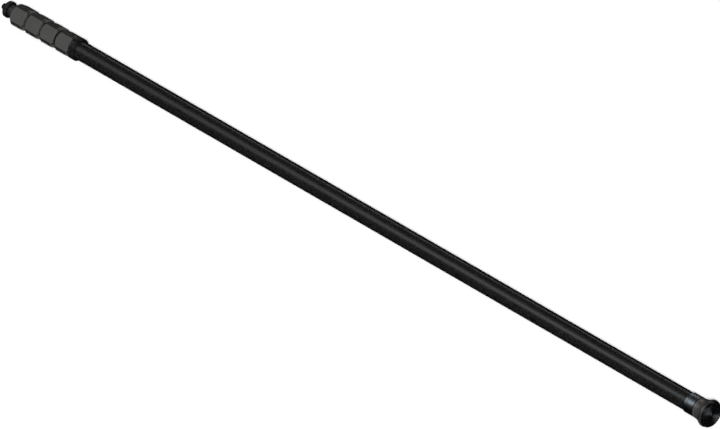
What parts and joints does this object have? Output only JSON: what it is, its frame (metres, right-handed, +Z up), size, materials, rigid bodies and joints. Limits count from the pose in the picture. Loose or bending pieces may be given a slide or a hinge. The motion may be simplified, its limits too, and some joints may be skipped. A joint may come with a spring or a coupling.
{
  "type": "boom pole",
  "caption": "Telescoping microphone boom pole, collapsed, with faceted locking collars, a flared rubber-footed base cap and a threaded stud at the tip.",
  "frame": {"origin": "middle of the rubber foot's face, on the pole's axis", "axes": "+X out of the foot, along the pole's axis, so the tip is at -X; +Z up; the pole lies level"},
  "size_m": [1.523, 0.0442, 0.0442],
  "materials": {
    "tube": "satin black anodised tube, brushed lengthwise",
    "collar": "charcoal anodised, fine bead-blasted facets with bright edges",
    "tip_black": "black anodised, turned",
    "nylon": "natural acetal",
    "bare_alloy": "as turned",
    "steel": "darkened steel",
    "rubber": "matte moulded rubber",
    "foam": "dense foam"
  },
  "bodies": {
    "main": {"main_tube": "tube", "ferrule_1": "collar", "base_sleeve": "tube", "base_plug": "bare_alloy", "bumper": "foam"},
    "cap_seal": {"cap_seal": "rubber"},
    "base_cap": {"base_cap": "tube", "foot_pad": "rubber"},
    "collet_1": {"collet_1": "nylon"},
    "collar_1": {"collar_1": "collar"},
    "guide_2": {"guide_ring_2": "nylon"},
    "section_2": {"tube_2": "tube", "end_bush_2": "nylon", "ferrule_2": "collar"},
    "collet_2": {"collet_2": "nylon"},
    "collar_2": {"collar_2": "collar"},
    "guide_3": {"guide_ring_3": "nylon"},
    "section_3": {"tube_3": "tube", "end_bush_3": "nylon", "ferrule_3": "collar"},
    "collet_3": {"collet_3": "nylon"},
    "collar_3": {"collar_3": "collar"},
    "guide_4": {"guide_ring_4": "nylon"},
    "section_4": {"tube_4": "tube", "end_bush_4": "nylon", "ferrule_4": "collar"},
    "collet_4": {"collet_4": "nylon"},
    "collar_4": {"collar_4": "collar"},
    "guide_5": {"guide_ring_5": "nylon"},
    "section_5": {"tube_5": "tube", "end_bush_5": "nylon", "tip_adapter": "tip_black", "tip_washer": "rubber", "tip_stud": "steel", "tip_screws": "steel"}
  },
  "joints": [
    {"name": "cap_travel", "type": "slide", "parent": "main", "child": "cap_seal", "axis": [1, 0, 0], "range_m": [0, 0.00601]},
    {"name": "cap_turn", "type": "hinge", "parent": "cap_seal", "child": "base_cap", "pos_m": [-0.03, 0, 0], "axis": [1, 0, 0], "range_deg": [0, 1440]},
    {"name": "collar_1_travel", "type": "slide", "parent": "main", "child": "collet_1", "axis": [-1, 0, 0], "range_m": [0, 0.00076]},
    {"name": "collar_1_turn", "type": "hinge", "parent": "collet_1", "child": "collar_1", "pos_m": [-1.375, 0, 0], "axis": [-1, 0, 0], "range_deg": [0, 180]},
    {"name": "section_2_slide", "type": "slide", "parent": "main", "child": "guide_2", "axis": [-1, 0, 0], "range_m": [0, 1.22]},
    {"name": "section_2_turn", "type": "hinge", "parent": "guide_2", "child": "section_2", "pos_m": [-0.071, 0, 0], "axis": [-1, 0, 0], "continuous": true},
    {"name": "collar_2_travel", "type": "slide", "parent": "section_2", "child": "collet_2", "axis": [-1, 0, 0], "range_m": [0, 0.00076]},
    {"name": "collar_2_turn", "type": "hinge", "parent": "collet_2", "child": "collar_2", "pos_m": [-1.408, 0, 0], "axis": [-1, 0, 0], "range_deg": [0, 180]},
    {"name": "section_3_slide", "type": "slide", "parent": "section_2", "child": "guide_3", "axis": [-1, 0, 0], "range_m": [0, 1.22]},
    {"name": "section_3_turn", "type": "hinge", "parent": "guide_3", "child": "section_3", "pos_m": [-0.104, 0, 0], "axis": [-1, 0, 0], "continuous": true},
    {"name": "collar_3_travel", "type": "slide", "parent": "section_3", "child": "collet_3", "axis": [-1, 0, 0], "range_m": [0, 0.00076]},
    {"name": "collar_3_turn", "type": "hinge", "parent": "collet_3", "child": "collar_3", "pos_m": [-1.441, 0, 0], "axis": [-1, 0, 0], "range_deg": [0, 180]},
    {"name": "section_4_slide", "type": "slide", "parent": "section_3", "child": "guide_4", "axis": [-1, 0, 0], "range_m": [0, 1.22]},
    {"name": "section_4_turn", "type": "hinge", "parent": "guide_4", "child": "section_4", "pos_m": [-0.137, 0, 0], "axis": [-1, 0, 0], "continuous": true},
    {"name": "collar_4_travel", "type": "slide", "parent": "section_4", "child": "collet_4", "axis": [-1, 0, 0], "range_m": [0, 0.00076]},
    {"name": "collar_4_turn", "type": "hinge", "parent": "collet_4", "child": "collar_4", "pos_m": [-1.474, 0, 0], "axis": [-1, 0, 0], "range_deg": [0, 180]},
    {"name": "section_5_slide", "type": "slide", "parent": "section_4", "child": "guide_5", "axis": [-1, 0, 0], "range_m": [0, 1.22]},
    {"name": "section_5_turn", "type": "hinge", "parent": "guide_5", "child": "section_5", "pos_m": [-0.17, 0, 0], "axis": [-1, 0, 0], "continuous": true}
  ],
  "couplings": [
    {"joint": "cap_travel", "follows": "cap_turn", "m_per_rad": 0.00023873},
    {"joint": "collar_1_travel", "follows": "collar_1_turn", "m_per_rad": 0.00023873},
    {"joint": "collar_2_travel", "follows": "collar_2_turn", "m_per_rad": 0.00023873},
    {"joint": "collar_3_travel", "follows": "collar_3_turn", "m_per_rad": 0.00023873},
    {"joint": "collar_4_travel", "follows": "collar_4_turn", "m_per_rad": 0.00023873}
  ]
}
